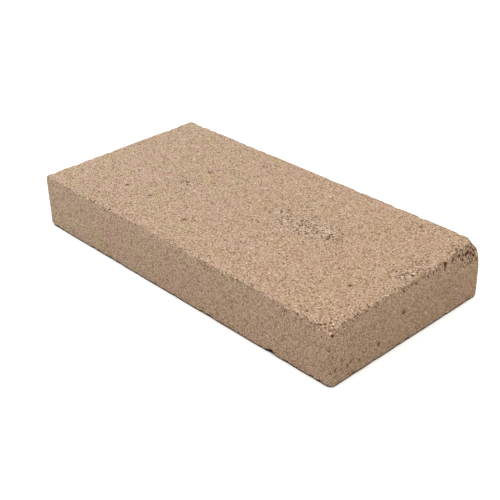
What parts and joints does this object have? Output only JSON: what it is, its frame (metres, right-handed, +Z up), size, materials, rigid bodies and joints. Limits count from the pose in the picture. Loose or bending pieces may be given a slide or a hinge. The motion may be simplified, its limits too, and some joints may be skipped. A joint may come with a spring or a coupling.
{
  "type": "refractory firebrick",
  "caption": "Flat rectangular firebrick of sandy buff fireclay with worn, chipped edges, laid to line kilns, stoves and fireplaces.",
  "frame": {"origin": "middle of the lower bed, on the floor that the brick lies on", "axes": "+X along the length, towards the header with the spalled edge; +Y across the width, away from the nicked stretcher; +Z up"},
  "size_m": [0.229, 0.114, 0.032],
  "materials": {
    "fireclay": "matte, sandy, fired and unglazed"
  },
  "bodies": {
    "root": {"firebrick": "fireclay"}
  },
  "joints": []
}
